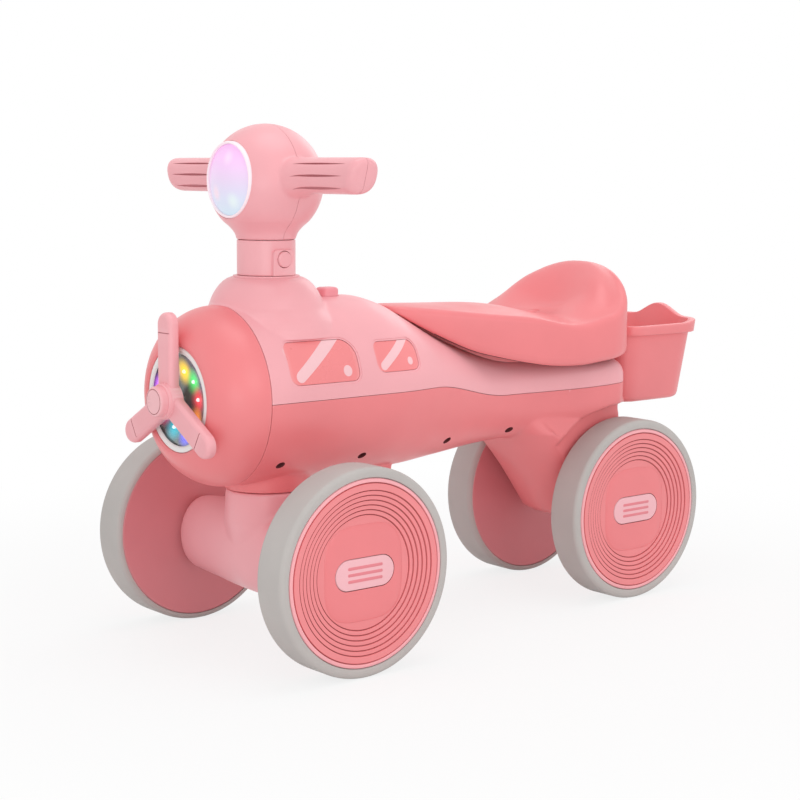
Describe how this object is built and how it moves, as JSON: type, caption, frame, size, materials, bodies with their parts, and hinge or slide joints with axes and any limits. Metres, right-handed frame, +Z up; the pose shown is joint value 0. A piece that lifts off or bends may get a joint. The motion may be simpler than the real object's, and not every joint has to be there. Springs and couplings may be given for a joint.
{
  "type": "toddler balance scooter",
  "caption": "Four-wheeled toddler balance scooter shaped like a small aeroplane, with a saddle seat, turning handlebar, nose lamp with propeller, and a rear bucket.",
  "frame": {"origin": "on the ground, in the middle of the length and width of the whole scooter", "axes": "+Z up; -Y is the way the scooter faces, its propeller end; +X is the rider's left"},
  "size_m": [0.2414, 0.5304, 0.3871],
  "materials": {
    "coral_plastic": "satin",
    "pink_plastic": "satin",
    "window_plastic": "satin",
    "tyre_rubber": "matt",
    "steel": "bright",
    "white_plastic": "gloss",
    "clear_plastic": "clear",
    "frosted_plastic": "frosted",
    "silvered_plastic": "vacuum silvered",
    "bearing_plastic": "natural",
    "circuit_board": "lacquered",
    "black_plastic": "matt",
    "battery_sleeve": "printed sleeve"
  },
  "bodies": {
    "airframe": {"battery_box": "black_plastic", "battery_cell_left": "battery_sleeve", "battery_cell_right": "battery_sleeve", "battery_cover": "coral_plastic", "body_lower_shell": "coral_plastic", "body_upper_shell": "pink_plastic", "front_window_left": "window_plastic", "front_window_right": "window_plastic", "lower_steering_bush": "bearing_plastic", "nose_bezel": "white_plastic", "nose_cone": "coral_plastic", "nose_lens": "clear_plastic", "nose_light_board": "circuit_board", "nose_reflector": "silvered_plastic", "propeller_pin": "steel", "rear_axle": "steel", "rear_window_left": "window_plastic", "rear_window_right": "window_plastic", "seat": "coral_plastic", "seat_screw": "steel", "sound_board": "circuit_board", "speaker": "black_plastic", "upper_steering_bush": "bearing_plastic"},
    "steering": {"front_axle_housing": "pink_plastic", "front_axle": "steel", "steering_stem": "steel", "steering_neck": "pink_plastic", "handlebar_front_shell": "pink_plastic", "handlebar_rear_shell": "pink_plastic", "handlebar_tube": "steel", "headlight_board": "circuit_board", "headlight_lens": "frosted_plastic", "headlight_ring": "white_plastic"},
    "propeller": {"propeller": "pink_plastic"},
    "music_button": {"music_button": "coral_plastic"},
    "bucket": {"bucket": "coral_plastic"},
    "snap_button": {"snap_button": "pink_plastic"},
    "front_left_wheel": {"front_left_tyre": "tyre_rubber", "front_left_outer_disc": "coral_plastic", "front_left_inner_disc": "coral_plastic", "front_left_badge": "pink_plastic"},
    "front_right_wheel": {"front_right_tyre": "tyre_rubber", "front_right_outer_disc": "coral_plastic", "front_right_inner_disc": "coral_plastic", "front_right_badge": "pink_plastic"},
    "rear_left_wheel": {"rear_left_tyre": "tyre_rubber", "rear_left_outer_disc": "coral_plastic", "rear_left_inner_disc": "coral_plastic", "rear_left_badge": "pink_plastic"},
    "rear_right_wheel": {"rear_right_tyre": "tyre_rubber", "rear_right_outer_disc": "coral_plastic", "rear_right_inner_disc": "coral_plastic", "rear_right_badge": "pink_plastic"}
  },
  "joints": [
    {"name": "steering_turn", "type": "hinge", "parent": "airframe", "child": "steering", "pos_m": [0, -0.16725, 0.1195], "axis": [0, 0, 1], "range_deg": [-30, 30]},
    {"name": "front_left_wheel_spin", "type": "hinge", "parent": "steering", "child": "front_left_wheel", "pos_m": [0.106, -0.16725, 0.075], "axis": [1, 0, 0], "continuous": true},
    {"name": "front_right_wheel_spin", "type": "hinge", "parent": "steering", "child": "front_right_wheel", "pos_m": [-0.106, -0.16725, 0.075], "axis": [1, 0, 0], "continuous": true},
    {"name": "rear_left_wheel_spin", "type": "hinge", "parent": "airframe", "child": "rear_left_wheel", "pos_m": [0.064, 0.1545, 0.075], "axis": [1, 0, 0], "continuous": true},
    {"name": "rear_right_wheel_spin", "type": "hinge", "parent": "airframe", "child": "rear_right_wheel", "pos_m": [-0.064, 0.1545, 0.075], "axis": [1, 0, 0], "continuous": true},
    {"name": "propeller_spin", "type": "hinge", "parent": "airframe", "child": "propeller", "pos_m": [0, -0.25665, 0.191], "axis": [0, 1, 0], "continuous": true},
    {"name": "music_button_press", "type": "slide", "parent": "airframe", "child": "music_button", "axis": [0, 0, -1], "range_m": [0, 0.0015], "stiffness_N_per_m": 600, "springref_m": -0.001},
    {"name": "snap_button_press", "type": "slide", "parent": "steering", "child": "snap_button", "axis": [-1, 0, 0], "range_m": [0, 0.0025], "stiffness_N_per_m": 500, "springref_m": -0.002},
    {"name": "bucket_lift", "type": "slide", "parent": "airframe", "child": "bucket", "axis": [0, 0, 1], "range_m": [0, 0.008]}
  ]
}
